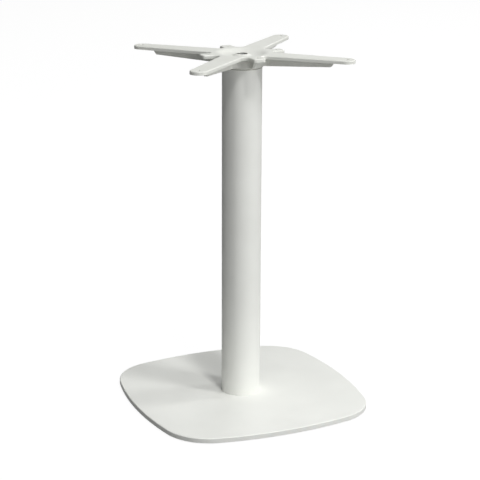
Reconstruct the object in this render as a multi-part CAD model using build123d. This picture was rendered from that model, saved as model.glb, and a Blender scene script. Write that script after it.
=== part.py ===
from build123d import *
from math import cos, radians, sin, sqrt, tan
import os

# Cafe table base: a flat steel foot plate, a round steel column and a cast aluminium spider that
# carries the table top.  Millimetres.  The origin is on the floor under the column's axis, +Z is up,
# and +X and +Y run square to the sides of the foot plate.  The spider's arms point to its corners.

os.makedirs("parts", exist_ok=True)

# Driving dimensions
overall_height = 725.0

# Floor pads: a plastic disc with a stem that is pressed into a blind hole in the plate
pad_height = 3.0
pad_radius = 15.0
pad_stem_radius = 3.0
pad_stem_length = 6.0
pad_inset = 72.5                   # from the middles of the plate's sides to the pad's centre

# The foot plate
plate_width = 465.0                # over the middles of two opposite sides
plate_side_radius = 700.0          # the sides bow outwards
plate_corner_radius = 100.0
plate_thickness = 10.0
plate_top_round = 2.0
plate_bottom_chamfer = 0.6

# Column: a tube with a thick steel disc welded into each end
column_radius = 40.0
column_wall = 2.0
column_end_chamfer = 0.4
disc_thickness = 10.0
disc_gap = 0.2                     # between the disc and the bore of the tube
weld_size = 3.0                    # leg of the weld groove round each disc

# Screws that hold the plate to the column (M8, countersunk, from below)
foot_screw_radius = 4.0
foot_screw_head_radius = 8.0
foot_screw_length = 18.0
foot_screw_circle = 25.0
foot_screw_sink = 0.3              # the head lies this far inside the plate
foot_screw_socket = 5.0            # across flats
foot_screw_socket_depth = 3.0
foot_screw_hole_radius = 4.5

# Spider: one casting
spider_height = 30.0
flange_thickness = 7.0
flange_top_round = 2.5
top_hole_spacing = 308.0           # side of the square of the four arm holes
arm_root_radius = 24.5             # the arm's outline is the hull of a circle at the hub ...
arm_tip_radius = 17.8              # ... and a smaller one near the arm hole
arm_tip_setback = 2.5              # the smaller circle's centre is this far inside of the hole
arm_hole_radius = 3.5
lug_reach = 87.5
lug_root_half_width = 14.0
lug_tip_half_width = 12.5
lug_corner_radius = 5.0
lug_hole_circle = 73.0
lug_hole_radius = 3.0
crotch_radius = 9.5                # between an arm and a lug
hole_edge_chamfer = 0.5

# The dish sinks to a ring-shaped valley, and a low boss with sloping sides rises in its middle
dish_rim_radius = 54.0
dish_steep_radius = 43.0           # where its wall is steepest
dish_valley_radius = 20.0
dish_depth = 7.0                   # of the valley
boss_top_radius = 13.0
boss_top_depth = 3.0

rib_foot_half_thickness = 2.6      # of the rib's lower edge
rib_top_half_thickness = 3.4       # where its root radius starts
rib_root_radius = 4.0
rib_hub_depth = 24.0               # below the spider's top
rib_level_reach = 57.0             # the lower edge is level as far as this
rib_end_depth = 17.0
rib_end_reach = 185.0
rib_end_slope = 6.5                # how much farther out the rib reaches at the flange
rib_end_round = 3.0
rib_hub_fillet = 16.0
lug_rib_foot_reach = 55.0
lug_rib_top_reach = 70.0
lug_rib_hub_fillet = 6.0

hub_radius = 43.0
hub_edge_chamfer = 0.8
seat_radius = 39.0                 # the machined ring that stands on the column
seat_height = 2.5
hub_cavity_radius = 33.0
hub_ceiling_depth = 12.5
hub_web_thickness = 5.0
hub_web_clearance = 1.0            # the webs inside the hub stay this far above the seat
boss_wall_radius = 17.0
well_radius = 10.8
well_floor_thickness = 11.0
pin_boss_radius = 6.0
pin_circle = 25.0

# Screw, washers and pins that hold the spider to the column (M10)
spider_screw_radius = 5.0
spider_screw_head_radius = 8.0
spider_screw_head_height = 10.0
spider_screw_head_chamfer = 0.8
spider_screw_length = 25.0
spider_screw_socket = 8.0
spider_screw_socket_depth = 5.0
spider_screw_hole_radius = 5.5
washer_radius = 10.0
washer_bore_radius = 5.25
washer_thickness = 2.0
spring_washer_radius = 9.0
spring_washer_bore_radius = 5.1
spring_washer_thickness = 2.2
spring_washer_slit = 1.6
spring_washer_slit_angle = 25.0     # from upright
pin_radius = 2.5
pin_wall = 1.0
pin_slit = 1.2
pin_length = 14.0

thread_clearance = 0.05            # radial, between a screw and its tapped hole
press_clearance = 0.03             # radial, between a pressed piece and its hole
end_clearance = 0.3                # at the closed end of a blind hole
overlap = 1.0                      # how far a shape reaches into the one that it joins or cuts
height_tolerance = 1e-4            # when edges are picked by their height
corner_tolerance = 0.01            # when corners are picked by their place

# Heights and sizes that follow
plate_bottom = pad_height
plate_top = plate_bottom + plate_thickness
spider_top = overall_height
column_top = spider_top - spider_height
column_bore = column_radius - column_wall
disc_radius = column_bore - disc_gap
hub_bottom = column_top + seat_height
flange_bottom = spider_top - flange_thickness
dish_valley = spider_top - dish_depth
boss_top = spider_top - boss_top_depth
hub_ceiling = spider_top - hub_ceiling_depth
well_floor = column_top + well_floor_thickness
washer_top = well_floor + washer_thickness
spring_washer_top = washer_top + spring_washer_thickness
arm_hole_reach = top_hole_spacing / sqrt(2)
pad_offset = plate_width / 2 - pad_inset
pin_places = (pin_circle, -pin_circle)
quarter_turns = (0, 90, 180, 270)
diagonal_turns = (45, 135, 225, 315)


def save(piece, node):
    """Writes one piece as its own STEP file."""
    piece.label = node
    export_step(piece, "parts/" + node + ".step")


def cylinder(radius, low, high, x=0.0, y=0.0):
    """An upright cylinder between two heights."""
    return Pos(x, y, low) * extrude(Circle(radius), high - low)


def cone(low_radius, high_radius, low, high, x=0.0, y=0.0):
    """An upright cone frustum between two heights."""
    middle = (low + high) / 2
    return Pos(x, y, middle) * Cone(low_radius, high_radius, high - low)


def hex_socket(across_flats, low, high, x=0.0, y=0.0):
    """The six-sided recess for a key."""
    hexagon = RegularPolygon(across_flats / sqrt(3), 6)
    return Pos(x, y, low) * extrude(hexagon, high - low)


def round_the_axis(shape, angles):
    """Copies of one shape, turned about the column's axis and joined."""
    turned = [Rot(0, 0, angle) * shape for angle in angles]
    joined = turned[0]
    for copy in turned[1:]:
        joined = joined + copy
    return joined


def edges_at(solid, height):
    """The edges of a solid that lie in one level plane."""
    return [e for e in solid.edges()
            if all(abs(v.Z - height) < height_tolerance for v in e.vertices())
            and abs(e.center().Z - height) < height_tolerance]


def ease_upper_edge(solid, height, radius, bands):
    """Rounds an upper edge off with narrow bands that touch the same quarter circle: one at 45
    degrees, a flatter one above it and, where three are asked for, a steeper one below it."""
    first_leg = radius * (2 - sqrt(2))
    second_leg = radius * (tan(radians(22.5)) - tan(radians(11.25)))
    solid = chamfer(edges_at(solid, height), first_leg)
    solid = chamfer(edges_at(solid, height), second_leg)
    if bands == 3:
        solid = chamfer(edges_at(solid, height - first_leg), second_leg)
    return solid


# Foot plate
def plate_outline():
    """Four large discs overlap in a square with bowed sides, and its corners are then rounded."""
    shift = plate_side_radius - plate_width / 2
    outline = Pos(shift, 0) * Circle(plate_side_radius)
    for angle in quarter_turns[1:]:
        outline = outline & (Rot(0, 0, angle) * Pos(shift, 0) * Circle(plate_side_radius))
    return fillet(outline.vertices(), plate_corner_radius)


def foot_screw_places():
    """Centres of the four screws, on the X and Y axes."""
    return [(foot_screw_circle * cos(radians(a)), foot_screw_circle * sin(radians(a)))
            for a in quarter_turns]


def pad_places():
    """Centres of the four floor pads, under the plate's corners."""
    return [(x * pad_offset, y * pad_offset) for x in (-1, 1) for y in (-1, 1)]


def make_foot_plate():
    plate = Pos(0, 0, plate_bottom) * extrude(plate_outline(), plate_thickness)
    plate = ease_upper_edge(plate, plate_top, plate_top_round, 2)
    plate = chamfer(edges_at(plate, plate_bottom), plate_bottom_chamfer)
    mouth = foot_screw_head_radius + foot_screw_sink
    for x, y in foot_screw_places():
        plate = plate - cylinder(foot_screw_hole_radius, plate_bottom, plate_top, x, y)
        plate = plate - cone(mouth, foot_screw_hole_radius, plate_bottom,
                             plate_bottom + mouth - foot_screw_hole_radius, x, y)
    hole_top = plate_bottom + pad_stem_length + end_clearance
    for x, y in pad_places():
        plate = plate - cylinder(pad_stem_radius + press_clearance, plate_bottom, hole_top, x, y)
    return plate


def make_floor_pad(x, y):
    disc = cylinder(pad_radius, 0, pad_height, x, y)
    return disc + cylinder(pad_stem_radius, pad_height, pad_height + pad_stem_length, x, y)


def make_foot_screw(x, y):
    """The head's cone has the same slope as the plate's countersink, so the two faces meet."""
    head_face = plate_bottom + foot_screw_sink
    head_height = foot_screw_head_radius - foot_screw_radius
    head = cone(foot_screw_head_radius, foot_screw_radius, head_face, head_face + head_height, x, y)
    shank = cylinder(foot_screw_radius, head_face + head_height, head_face + foot_screw_length, x, y)
    socket = hex_socket(foot_screw_socket, head_face, head_face + foot_screw_socket_depth, x, y)
    return head + shank - socket


# Column
def make_column_tube():
    tube = cylinder(column_radius, plate_top, column_top)
    ends = edges_at(tube, plate_top) + edges_at(tube, column_top)
    tube = chamfer(ends, column_end_chamfer)
    return tube - cylinder(column_bore, plate_top, column_top)


def welded_disc(outer_end, inward):
    """A disc in the tube's end.  Its outer edge is cut back at 45 degrees for the weld.
    inward is +1 when the disc lies above the tube's end, and -1 when it lies below."""
    low, high = sorted((outer_end, outer_end + inward * disc_thickness))
    disc = cylinder(disc_radius, low, high)
    return chamfer(edges_at(disc, outer_end), weld_size)


def weld_ring(outer_end, inward):
    """The bead fills the groove between disc and bore, and is ground flush with the tube's end."""
    root = disc_radius - weld_size
    leg = column_bore - root
    tip = outer_end + inward * leg
    section = Polygon((root, outer_end), (column_bore, outer_end), (column_bore, tip), align=None)
    return revolve(Plane.XZ * section, Axis.Z)


def make_column_foot_disc():
    disc = welded_disc(plate_top, 1)
    radius = foot_screw_radius + thread_clearance
    for x, y in foot_screw_places():
        disc = disc - cylinder(radius, plate_top, plate_top + disc_thickness, x, y)
    return disc


def make_column_head_disc():
    radius = spider_screw_radius + thread_clearance
    disc = welded_disc(column_top, -1) - cylinder(radius, column_top - disc_thickness, column_top)
    hole_bottom = column_top - pin_length / 2
    for x in pin_places:
        disc = disc - cylinder(pin_radius + press_clearance, hole_bottom, column_top, x)
    return disc


# Spider
def flange_outline():
    """Four tapered arms and four short lugs.  The corners between them are rounded."""
    tip = Pos(arm_hole_reach - arm_tip_setback, 0) * Circle(arm_tip_radius)
    arm = make_hull(tip.edges() + Circle(arm_root_radius).edges())
    lug = Polygon((0, -lug_root_half_width), (lug_reach, -lug_tip_half_width),
                  (lug_reach, lug_tip_half_width), (0, lug_root_half_width), align=None)
    ends = [v for v in lug.vertices() if v.X > lug_reach / 2]
    lug = fillet(ends, lug_corner_radius)
    outline = round_the_axis(arm, diagonal_turns) + round_the_axis(lug, quarter_turns)
    crotches = [v for v in outline.vertices() if sqrt(v.X ** 2 + v.Y ** 2) < lug_hole_circle]
    return fillet(crotches, crotch_radius)


def dish_cutter():
    """Half of the dish's section, turned about the axis.  The wall is two arcs that run on from each
    other, level at the rim and in the valley, and the boss's side runs up straight from the valley."""
    slope = dish_depth / (dish_rim_radius - dish_valley_radius)
    steep = spider_top - slope * (dish_rim_radius - dish_steep_radius)
    upper = TangentArc((dish_rim_radius, spider_top), (dish_steep_radius, steep), tangent=(-1, 0))
    lower = TangentArc((dish_valley_radius, dish_valley), (dish_steep_radius, steep), tangent=(1, 0))
    roof = spider_top + overlap
    rest = Polyline((dish_valley_radius, dish_valley), (boss_top_radius, boss_top), (0, boss_top),
                    (0, roof), (dish_rim_radius, roof), (dish_rim_radius, spider_top))
    section = make_face(upper + lower + rest)
    return revolve(Plane.XZ * section, Axis.Z)


def rib_bar(length):
    """A bar along +X with the rib's section: drafted sides that flare into the flange by a radius."""
    low = spider_top - rib_hub_depth
    root = flange_bottom - rib_root_radius
    wide = rib_top_half_thickness + rib_root_radius
    inside = flange_bottom + overlap
    half = Polyline((0, inside), (0, low), (rib_foot_half_thickness, low), (rib_top_half_thickness, root))
    half = half + RadiusArc((rib_top_half_thickness, root), (wide, flange_bottom), rib_root_radius)
    half = half + Polyline((wide, flange_bottom), (wide, inside), (0, inside))
    section = make_face(half)
    section = section + mirror(section, Plane.YZ)
    return extrude(Plane.YZ * section, length)


def rib_side_view(corners):
    """The rib's side view as a thick slab across it, from corners given as (reach, height)."""
    face = Polygon(*corners, align=None)
    return extrude(Plane.XZ * face, arm_root_radius, both=True)


def make_arm_rib():
    """Level beside the hub, then rising towards the tip, where its end slopes up to the flange."""
    low = spider_top - rib_hub_depth
    end = spider_top - rib_end_depth
    inside = flange_bottom + overlap
    slope = rib_end_slope / (flange_bottom - end)
    top_reach = rib_end_reach + slope * (inside - end)
    corners = [(0, inside), (0, low), (rib_level_reach, low), (rib_end_reach, end), (top_reach, inside)]
    side = rib_side_view(corners)
    nose = [e for e in side.edges()
            if all(abs(v.X - rib_end_reach) < corner_tolerance for v in e.vertices())]
    return rib_bar(top_reach) & fillet(nose, rib_end_round)


def make_lug_rib():
    """A short gusset under the lug."""
    low = spider_top - rib_hub_depth
    inside = flange_bottom + overlap
    slope = (lug_rib_top_reach - lug_rib_foot_reach) / (flange_bottom - low)
    top_reach = lug_rib_foot_reach + slope * (inside - low)
    corners = [(0, inside), (0, low), (lug_rib_foot_reach, low), (top_reach, inside)]
    return rib_bar(top_reach) & rib_side_view(corners)


def web_fillets(angles, radius, reach):
    """The hub's wall and the ribs that leave it, seen from above, with their corners rounded."""
    strip = Pos(reach / 2, 0) * Rectangle(reach, 2 * rib_top_half_thickness)
    plan = Circle(hub_radius) + round_the_axis(strip, angles)
    corners = [v for v in plan.vertices() if abs(sqrt(v.X ** 2 + v.Y ** 2) - hub_radius) < corner_tolerance]
    plan = fillet(corners, radius)
    low = spider_top - rib_hub_depth
    return Pos(0, 0, low) * extrude(plan, flange_bottom - low)


def make_hub():
    """A cup that opens downwards, with a boss in the middle for the screw."""
    wall = cylinder(hub_radius, hub_bottom, flange_bottom)
    wall = chamfer(edges_at(wall, hub_bottom), hub_edge_chamfer)
    seat = cylinder(seat_radius, column_top, hub_bottom)
    return wall + seat


def hub_cavity():
    """What the core takes out of the hub: the room round the boss, less the webs and pin bosses."""
    room = cylinder(hub_cavity_radius, column_top, hub_ceiling)
    room = room - cylinder(boss_wall_radius, column_top, hub_ceiling)
    web = Pos(hub_cavity_radius / 2, 0) * Rectangle(hub_cavity_radius, hub_web_thickness)
    web = Pos(0, 0, column_top + hub_web_clearance) * extrude(web, hub_ceiling - column_top)
    room = room - round_the_axis(web, quarter_turns)
    for x in pin_places:
        room = room - cylinder(pin_boss_radius, column_top, hub_ceiling, x)
    return room


def top_hole(radius, reach):
    """A plain hole through the flange, with a broken upper edge."""
    hole = cylinder(radius, flange_bottom, spider_top, reach)
    edge = cone(radius, radius + hole_edge_chamfer, spider_top - hole_edge_chamfer, spider_top, reach)
    return hole + edge


def make_spider():
    flange = Pos(0, 0, flange_bottom) * extrude(flange_outline(), flange_thickness)
    spider = ease_upper_edge(flange, spider_top, flange_top_round, 3) + make_hub()
    spider = spider + web_fillets(diagonal_turns, rib_hub_fillet, rib_level_reach)
    spider = spider + web_fillets(quarter_turns, lug_rib_hub_fillet, lug_rib_foot_reach)
    spider = spider + round_the_axis(make_arm_rib(), diagonal_turns)
    spider = spider + round_the_axis(make_lug_rib(), quarter_turns)
    spider = spider - dish_cutter() - hub_cavity()
    spider = spider - round_the_axis(top_hole(arm_hole_radius, arm_hole_reach), diagonal_turns)
    spider = spider - round_the_axis(top_hole(lug_hole_radius, lug_hole_circle), quarter_turns)
    spider = spider - cylinder(well_radius, well_floor, spider_top)
    spider = spider - cylinder(spider_screw_hole_radius, column_top, well_floor)
    pin_hole_top = column_top + pin_length / 2 + end_clearance
    for x in pin_places:
        spider = spider - cylinder(pin_radius + press_clearance, column_top, pin_hole_top, x)
    return spider


# Fasteners of the spider
def make_spider_washer():
    disc = cylinder(washer_radius, well_floor, washer_top)
    return disc - cylinder(washer_bore_radius, well_floor, washer_top)


def make_spider_spring_washer():
    ring = cylinder(spring_washer_radius, washer_top, spring_washer_top)
    ring = ring - cylinder(spring_washer_bore_radius, washer_top, spring_washer_top)
    middle = washer_top + spring_washer_thickness / 2
    blade = Box(2 * spring_washer_radius, spring_washer_slit, 2 * spring_washer_thickness)
    return ring - Pos(spring_washer_radius, 0, middle) * Rot(spring_washer_slit_angle, 0, 0) * blade


def make_spider_screw():
    head_top = spring_washer_top + spider_screw_head_height
    tip = spring_washer_top - spider_screw_length
    head = cylinder(spider_screw_head_radius, spring_washer_top, head_top)
    head = chamfer(edges_at(head, head_top), spider_screw_head_chamfer)
    shank = cylinder(spider_screw_radius, tip, spring_washer_top)
    return head + shank - hex_socket(spider_screw_socket, head_top - spider_screw_socket_depth, head_top)


def make_locating_pin(x):
    """A rolled spring pin, with a slit down its side."""
    low = column_top - pin_length / 2
    high = column_top + pin_length / 2
    pin = cylinder(pin_radius, low, high, x) - cylinder(pin_radius - pin_wall, low, high, x)
    slit = Pos(x, pin_radius, column_top) * Box(pin_slit, 2 * pin_radius, pin_length)
    return pin - slit


# Write every piece
save(make_foot_plate(), "foot_plate")
save(make_column_tube(), "column_tube")
save(make_column_foot_disc(), "column_foot_disc")
save(weld_ring(plate_top, 1), "column_foot_weld")
save(make_column_head_disc(), "column_head_disc")
save(weld_ring(column_top, -1), "column_head_weld")
save(make_spider(), "spider")
save(make_spider_screw(), "spider_screw")
save(make_spider_washer(), "spider_washer")
save(make_spider_spring_washer(), "spider_spring_washer")
for side, x in zip(("right", "left"), pin_places):
    save(make_locating_pin(x), "locating_pin_" + side)
for side, place in zip(("right", "back", "left", "front"), foot_screw_places()):
    save(make_foot_screw(*place), "foot_screw_" + side)
for side, place in zip(("front_left", "back_left", "front_right", "back_right"), pad_places()):
    save(make_floor_pad(*place), "floor_pad_" + side)
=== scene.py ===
import bpy
import numpy as np
from mathutils import Matrix

# White cafe table base: a flat steel foot plate, a round steel column and a cast aluminium spider,
# all in satin white powder coat.  Metres, in the CAD frame: floor at z = 0, +Z up, camera in front.
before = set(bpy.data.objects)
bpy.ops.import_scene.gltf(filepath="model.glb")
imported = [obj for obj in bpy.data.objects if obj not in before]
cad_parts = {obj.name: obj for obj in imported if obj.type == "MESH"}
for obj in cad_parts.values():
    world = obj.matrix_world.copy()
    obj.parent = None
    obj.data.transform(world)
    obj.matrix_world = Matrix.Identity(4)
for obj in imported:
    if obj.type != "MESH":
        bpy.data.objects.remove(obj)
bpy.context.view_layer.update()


# Foot plate
# A flat square of 10 mm steel plate with bowed sides and rounded corners, cut out, its edge
# broken by grinding, then sprayed with polyester powder and baked: an even satin skin that
# pools very slightly and leaves a fine orange peel.
def linear(hex_colour):
    """An sRGB hex colour as linear values: each channel follows the sRGB curve backwards."""
    c = np.array([int(hex_colour[i:i + 2], 16) for i in (1, 3, 5)]) / 255
    return (*np.where(c <= 0.04045, c / 12.92, ((c + 0.055) / 1.055) ** 2.4), 1.0)


def add_node(tree, kind, inputs=None, **settings):
    """Adds one node.  A value in inputs is either linked, when it is a socket, or set."""
    made = tree.nodes.new(kind)
    for name, value in settings.items():
        setattr(made, name, value)
    for name, value in (inputs or {}).items():
        if isinstance(value, bpy.types.NodeSocket):
            tree.links.new(value, made.inputs[name])
        else:
            made.inputs[name].default_value = value
    return made


noise_low, noise_high = 0.3, 0.7        # nearly all values of a noise lie between these


def powder_coat(name, colour, thin_colour, roughness, peel_mm, peel_depth_mm, wave_mm, wave_depth_mm):
    """Satin polyester powder coat, baked on.  Fine peel and a long wave are both bumps, and the
    colour leans to thin_colour by a few percent in soft clouds, where the coat is thinner."""
    cloud_mm = 110.0                    # about one pass of the spray gun
    thick_below, thin_above = 0.35, 0.65
    gloss_spread = 0.025                # the roughness drifts this much to both sides
    polyester_ior = 1.5
    coat = bpy.data.materials.new(name)
    coat.use_nodes = True
    tree = coat.node_tree
    shader = tree.nodes["Principled BSDF"]
    place = add_node(tree, "ShaderNodeTexCoord").outputs["Object"]
    peel = add_node(tree, "ShaderNodeTexNoise", {
        "Vector": place, "Scale": 1000 / peel_mm, "Detail": 2.0, "Roughness": 0.45})
    wave = add_node(tree, "ShaderNodeTexNoise", {
        "Vector": place, "Scale": 1000 / wave_mm, "Detail": 1.0, "Roughness": 0.4})
    cloud = add_node(tree, "ShaderNodeTexNoise", {
        "Vector": place, "Scale": 1000 / cloud_mm, "Detail": 3.0, "Roughness": 0.5})
    thinness = add_node(tree, "ShaderNodeMapRange", {
        "Value": cloud.outputs["Fac"], "From Min": thick_below, "From Max": thin_above})
    skin = add_node(tree, "ShaderNodeMix", {
        "Factor": thinness.outputs["Result"], "A": linear(colour), "B": linear(thin_colour)},
        data_type="RGBA")
    gloss = add_node(tree, "ShaderNodeMapRange", {
        "Value": cloud.outputs["Fac"], "From Min": noise_low, "From Max": noise_high,
        "To Min": roughness - gloss_spread, "To Max": roughness + gloss_spread})
    low = add_node(tree, "ShaderNodeBump", {
        "Height": wave.outputs["Fac"], "Distance": wave_depth_mm / 1000, "Strength": 1.0})
    high = add_node(tree, "ShaderNodeBump", {
        "Height": peel.outputs["Fac"], "Distance": peel_depth_mm / 1000, "Strength": 1.0,
        "Normal": low.outputs["Normal"]})
    tree.links.new(skin.outputs["Result"], shader.inputs["Base Color"])
    tree.links.new(gloss.outputs["Result"], shader.inputs["Roughness"])
    tree.links.new(high.outputs["Normal"], shader.inputs["Normal"])
    shader.inputs["IOR"].default_value = polyester_ior
    return coat


def dress(node, material):
    """Gives a CAD node its one material."""
    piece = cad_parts[node]
    piece.data.materials.clear()
    piece.data.materials.append(material)


steel_coat = powder_coat(
    "steel_in_satin_powder_coat", "#F2F3EE", "#EEEFEA", roughness=0.58,
    peel_mm=2.2, peel_depth_mm=0.012, wave_mm=60.0, wave_depth_mm=0.03)
dress("foot_plate", steel_coat)


# Column
# An 80 mm welded steel tube, cut square, with a thick steel disc welded into each end and the
# beads ground flush.  It is coated as one piece after welding, so the ends wear the same skin.
for node in ("column_tube", "column_foot_disc", "column_foot_weld", "column_head_disc", "column_head_weld"):
    dress(node, steel_coat)


# Spider
# One aluminium sand casting, fettled and then powder coated.  The sand leaves a slow waviness
# under the coat, whose peel is a little coarser than on the steel.  The seat that stands on the
# column and the well of the middle screw are turned last, so they show bare aluminium.  The
# seat's dark grey is painted shade, standing in for the thin shadow gap between the hub and the column.
def turn_bare_and_shade_seat(coat, seat_top, seat_shade_colour, well_radius, well_colour, roughness):
    """Takes the coat off a casting's two turned places: all that lies below seat_top, and all
    that lies within well_radius of the axis, both in metres.  The seat is given a dark grey,
    which is painted shade for the thin shadow gap under the hub.  A fine grain varies the
    roughness of both."""
    grain_mm = 1.4                      # coarser than a tool's marks, so that it shows
    roughness_spread = 0.06
    tree = coat.node_tree
    shader = tree.nodes["Principled BSDF"]
    coated_colour = shader.inputs["Base Color"].links[0].from_socket
    coated_gloss = shader.inputs["Roughness"].links[0].from_socket
    place = add_node(tree, "ShaderNodeTexCoord").outputs["Object"]
    part = add_node(tree, "ShaderNodeSeparateXYZ", {"Vector": place})
    level = add_node(tree, "ShaderNodeCombineXYZ", {"X": part.outputs["X"], "Y": part.outputs["Y"]})
    radius = add_node(tree, "ShaderNodeVectorMath", {0: level.outputs["Vector"]}, operation="LENGTH")
    in_well = add_node(tree, "ShaderNodeMath", {
        0: radius.outputs["Value"], 1: well_radius}, operation="LESS_THAN").outputs[0]
    on_seat_bare_and_shade = add_node(tree, "ShaderNodeMath", {
        0: part.outputs["Z"], 1: seat_top}, operation="LESS_THAN").outputs[0]
    bare = add_node(tree, "ShaderNodeMath", {0: in_well, 1: on_seat_bare_and_shade}, operation="MAXIMUM").outputs[0]
    grain = add_node(tree, "ShaderNodeTexNoise", {
        "Vector": place, "Scale": 1000 / grain_mm, "Detail": 3.0, "Roughness": 0.6})
    dull = add_node(tree, "ShaderNodeMapRange", {
        "Value": grain.outputs["Fac"], "From Min": noise_low, "From Max": noise_high,
        "To Min": roughness - roughness_spread, "To Max": roughness + roughness_spread})
    # The seat's dark grey is painted shade for the gap between the hub and the column.
    metal_and_seat_shade = add_node(tree, "ShaderNodeMix", {
        "Factor": on_seat_bare_and_shade, "A": linear(well_colour), "B": linear(seat_shade_colour)}, data_type="RGBA")
    colour = add_node(tree, "ShaderNodeMix", {
        "Factor": bare, "A": coated_colour, "B": metal_and_seat_shade.outputs["Result"]}, data_type="RGBA")
    gloss = add_node(tree, "ShaderNodeMix", {
        "Factor": bare, "A": coated_gloss, "B": dull.outputs["Result"]}, data_type="FLOAT")
    tree.links.new(colour.outputs["Result"], shader.inputs["Base Color"])
    tree.links.new(gloss.outputs["Result"], shader.inputs["Roughness"])
    tree.links.new(bare, shader.inputs["Metallic"])


cast_coat = powder_coat(
    "cast_aluminium_in_satin_powder_coat", "#E8E9E3", "#E3E4DD", roughness=0.60,
    peel_mm=2.8, peel_depth_mm=0.02, wave_mm=22.0, wave_depth_mm=0.06)
# The hub's foot is at 695 mm and the groove of its seat is 2.5 mm deep.  The well's wall stands at
# a radius of 10.8 mm.
# The seat's dark grey below is painted shade for the thin gap between the hub and the column.
turn_bare_and_shade_seat(cast_coat, seat_top=0.6975, seat_shade_colour="#8A8983",
          well_radius=0.01085, well_colour="#D2D1CA", roughness=0.42)
dress("spider", cast_coat)


# Screws, washers and pins
# Cold-headed and rolled steel parts with bright zinc plate, which looks cool grey, fairly
# smooth and faintly cloudy.  The heads of the foot screws lie in countersinks under the plate.
def grained(name, colour, metallic, roughness, grain_mm, grain_depth_mm, detail, crispness):
    """One even grain over one colour.  The grain is a shallow bump, and it carries the roughness
    from the first to the second value of that pair."""
    stuff = bpy.data.materials.new(name)
    stuff.use_nodes = True
    tree = stuff.node_tree
    shader = tree.nodes["Principled BSDF"]
    place = add_node(tree, "ShaderNodeTexCoord").outputs["Object"]
    grain = add_node(tree, "ShaderNodeTexNoise", {
        "Vector": place, "Scale": 1000 / grain_mm, "Detail": detail, "Roughness": crispness})
    rough = add_node(tree, "ShaderNodeMapRange", {
        "Value": grain.outputs["Fac"], "To Min": roughness[0], "To Max": roughness[1]})
    bump = add_node(tree, "ShaderNodeBump", {
        "Height": grain.outputs["Fac"], "Distance": grain_depth_mm / 1000, "Strength": 1.0})
    tree.links.new(rough.outputs["Result"], shader.inputs["Roughness"])
    tree.links.new(bump.outputs["Normal"], shader.inputs["Normal"])
    shader.inputs["Base Color"].default_value = linear(colour)
    shader.inputs["Metallic"].default_value = metallic
    return stuff


# The grain is coarser than the crystals of the plate, so that it shows.
zinc_plate = grained(
    "zinc_plated_steel", "#C9CDCF", metallic=1.0, roughness=(0.26, 0.42),
    grain_mm=0.7, grain_depth_mm=0.01, detail=3.0, crispness=0.6)
for node in sorted(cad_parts):
    if node.startswith(("spider_", "locating_pin", "foot_screw")):
        dress(node, zinc_plate)


# Floor pads
# Black polyethylene discs, injection moulded with a peg that is pressed into the plate: a dull
# waxy black with the fine spark-eroded grain of its mould.  The grain is drawn about twice as
# coarse as the mould's finish, so that it shows.
pad_plastic = grained(
    "black_polyethylene", "#262628", metallic=0.0, roughness=(0.48, 0.62),
    grain_mm=0.9, grain_depth_mm=0.03, detail=2.0, crispness=0.5)
for node in sorted(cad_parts):
    if node.startswith("floor_pad"):
        dress(node, pad_plastic)


# Studio
# One flat sheet of matt white paper under the object.  To the camera, and in reflections, the
# paper is white of itself, and it still takes the object's soft shadow.
floor_half = 6.0
paper_glow = 0.93                       # a strength of 1 is white
paper_grey = "#616161"                  # dark, because the paper's white comes from its glow
corners = np.array([(-1, -1, 0), (1, -1, 0), (1, 1, 0), (-1, 1, 0)]) * floor_half
paper = bpy.data.meshes.new("paper_floor")
paper.from_pydata(corners.tolist(), [], [(0, 1, 2, 3)])
floor = bpy.data.objects.new("paper_floor", paper)
bpy.context.scene.collection.objects.link(floor)

white_paper = bpy.data.materials.new("white_paper")
white_paper.use_nodes = True
tree = white_paper.node_tree
tree.nodes.clear()
seen = add_node(tree, "ShaderNodeLightPath")
either = add_node(tree, "ShaderNodeMath", {
    0: seen.outputs["Is Camera Ray"], 1: seen.outputs["Is Glossy Ray"]}, operation="MAXIMUM")
any_of = add_node(tree, "ShaderNodeMath", {
    0: either.outputs[0], 1: seen.outputs["Is Transmission Ray"]}, operation="MAXIMUM")
glow = add_node(tree, "ShaderNodeMath", {0: any_of.outputs[0], 1: paper_glow}, operation="MULTIPLY")
matt = add_node(tree, "ShaderNodeBsdfDiffuse", {"Color": linear(paper_grey)})
shine = add_node(tree, "ShaderNodeEmission", {"Color": linear("#FFFFFF"), "Strength": glow.outputs[0]})
both = add_node(tree, "ShaderNodeAddShader", {0: matt.outputs[0], 1: shine.outputs[0]})
add_node(tree, "ShaderNodeOutputMaterial", {"Surface": both.outputs[0]})
paper.materials.append(white_paper)

# The room is white to the camera and a soft grey light to the object.
room_light = 0.105
room = bpy.data.worlds.new("white_room")
bpy.context.scene.world = room
room.use_nodes = True
tree = room.node_tree
tree.nodes.clear()
seen = add_node(tree, "ShaderNodeLightPath")
dim = add_node(tree, "ShaderNodeBackground", {"Color": linear("#F2F4F5"), "Strength": room_light})
white = add_node(tree, "ShaderNodeBackground", {"Color": linear("#FFFFFF"), "Strength": 1.0})
mixed = add_node(tree, "ShaderNodeMixShader", {
    0: seen.outputs["Is Camera Ray"], 1: dim.outputs[0], 2: white.outputs[0]})
add_node(tree, "ShaderNodeOutputWorld", {"Surface": mixed.outputs[0]})

middle = np.array([0.0, 0.0, 0.35])     # about half-way up the column


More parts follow.
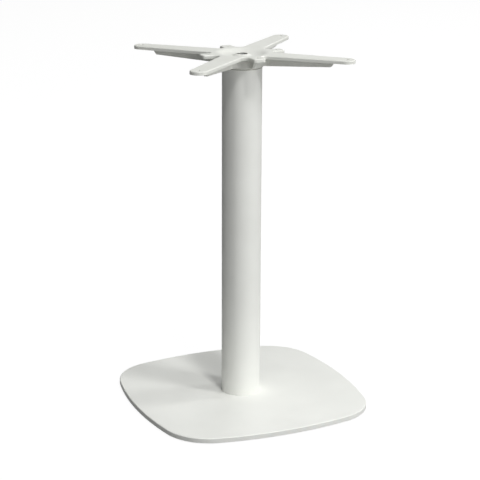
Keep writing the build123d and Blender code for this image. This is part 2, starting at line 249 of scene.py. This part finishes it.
def softbox(name, azimuth, elevation, distance, width, height, watts):
    """A flat soft white light at a distance from the middle of the column, which it faces.
    Azimuth runs from +X towards +Y.  A lamp shines along its own -Z, so +Z points back."""
    a, e = np.radians(azimuth), np.radians(elevation)
    back = np.array([np.cos(a) * np.cos(e), np.sin(a) * np.cos(e), np.sin(e)])
    right = np.array([-np.sin(a), np.cos(a), 0.0])
    turn = np.eye(4)
    turn[:3, :3] = np.stack([right, np.cross(back, right), back], axis=1)
    turn[:3, 3] = middle + distance * back
    lamp = bpy.data.lights.new(name, "AREA")
    lamp.shape = "RECTANGLE"
    lamp.size = width
    lamp.size_y = height
    lamp.energy = watts
    light = bpy.data.objects.new(name, lamp)
    light.matrix_world = Matrix(turn.tolist())
    bpy.context.scene.collection.objects.link(light)


far, near = 7.0, 3.2                    # metres from the middle of the column
softbox("ceiling_panel", 260, 75, far, width=3.0, height=3.0, watts=77.0)
softbox("front_box", -91, 60, far, width=0.8, height=1.0, watts=147.0)
softbox("front_window", -91, 12, far, width=0.8, height=1.0, watts=20.0)
softbox("front_right_box", -50, 60, far, width=1.3, height=1.1, watts=30.0)
softbox("front_right_window", -50, 32, far, width=1.3, height=1.1, watts=92.0)
softbox("low_strip", -50, 10, near, width=0.6, height=0.5, watts=20.2)
softbox("right_box", -8, 60, far, width=0.7, height=1.0, watts=63.6)
softbox("back_right_panel", 50, 35, far, width=3.5, height=2.0, watts=72.7)
softbox("back_left_panel", 200, 10, near, width=1.4, height=1.0, watts=4.6)
softbox("left_panel", 260, 15, near, width=1.4, height=1.0, watts=12.1)


# Camera
# It stands where the photograph's outline, column and holes fit best.  Angles are in radians.
# The picture is 480 pixels wide, and the lens is the fitted focal length in those pixels.
picture_width = 480
focal_pixels = 1558.0
film_width = 36.0                       # millimetres
turn_about_column = -0.408305           # where the camera stands, from straight in front
swing = 0.000898                        # how far it looks past the column's axis
tilt_down = 0.290582
roll = 0.004131
camera_distance = 3.043688              # metres, level, from the column's axis
camera_height = 1.248788

ahead = np.array([-np.sin(turn_about_column), np.cos(turn_about_column), 0.0])
heading = turn_about_column + swing
level = np.array([-np.sin(heading), np.cos(heading), 0.0])
right = np.array([np.cos(heading), np.sin(heading), 0.0])
forward = np.cos(tilt_down) * level - np.sin(tilt_down) * np.array([0.0, 0.0, 1.0])
up = np.cross(right, forward)
axes = np.eye(4)
axes[:3, 0] = np.cos(roll) * right + np.sin(roll) * up
axes[:3, 1] = -np.sin(roll) * right + np.cos(roll) * up
axes[:3, 2] = -forward
axes[:3, 3] = -ahead * camera_distance + np.array([0.0, 0.0, camera_height])
lens = bpy.data.cameras.new("camera")
lens.sensor_width = film_width
lens.lens = focal_pixels * film_width / picture_width
camera = bpy.data.objects.new("camera", lens)
camera.matrix_world = Matrix(axes.tolist())
bpy.context.scene.collection.objects.link(camera)
bpy.context.scene.camera = camera
bpy.context.scene.view_settings.view_transform = "Standard"
